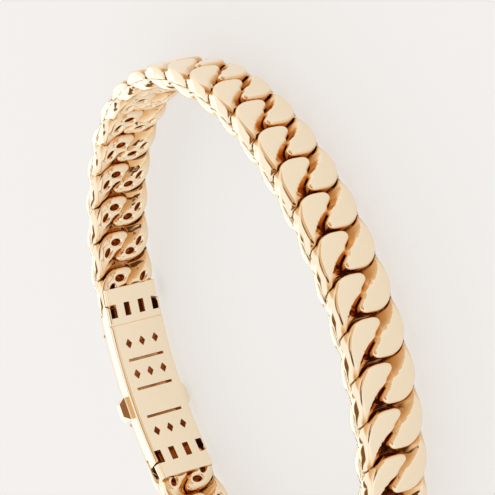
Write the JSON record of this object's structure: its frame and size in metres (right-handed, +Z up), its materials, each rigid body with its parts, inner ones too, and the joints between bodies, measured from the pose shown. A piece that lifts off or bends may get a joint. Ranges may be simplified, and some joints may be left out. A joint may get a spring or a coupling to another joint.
{
  "type": "braided bracelet",
  "caption": "Close-set gold curb-link bracelet that reads as a two-strand braid, closed in an oval by a box clasp with a push-button on each side",
  "frame": {"origin": "centre of the bounding box, on the plane the bracelet rests on", "axes": "+Z up, across the band and through the wrist hollow; +X along the oval's long way; +Y towards the clasp"},
  "size_m": [0.0716, 0.0567, 0.0101],
  "materials": {
    "gold": "polished"
  },
  "bodies": {
    "chain": {"clasp_base": "gold", "clasp_box": "gold", "link_01": "gold", "link_02": "gold", "link_03": "gold", "link_04": "gold", "link_05": "gold", "link_06": "gold", "link_07": "gold", "link_08": "gold", "link_09": "gold", "link_10": "gold", "link_11": "gold", "link_12": "gold", "link_13": "gold", "link_14": "gold", "link_15": "gold", "link_16": "gold", "link_17": "gold", "link_18": "gold", "link_19": "gold", "link_20": "gold", "link_21": "gold", "link_22": "gold", "link_23": "gold", "link_24": "gold", "link_25": "gold", "link_26": "gold", "link_27": "gold", "link_28": "gold", "link_29": "gold", "link_30": "gold", "link_31": "gold", "link_32": "gold", "link_33": "gold", "link_34": "gold"},
    "button_a": {"button_a": "gold"},
    "button_b": {"button_b": "gold"}
  },
  "joints": [
    {"name": "button_a_press", "type": "slide", "parent": "chain", "child": "button_a", "axis": [0, 0, -1], "range_m": [0, 0.00055], "stiffness_N_per_m": 3000},
    {"name": "button_b_press", "type": "slide", "parent": "chain", "child": "button_b", "axis": [0, 0, 1], "range_m": [0, 0.00055], "stiffness_N_per_m": 3000}
  ]
}
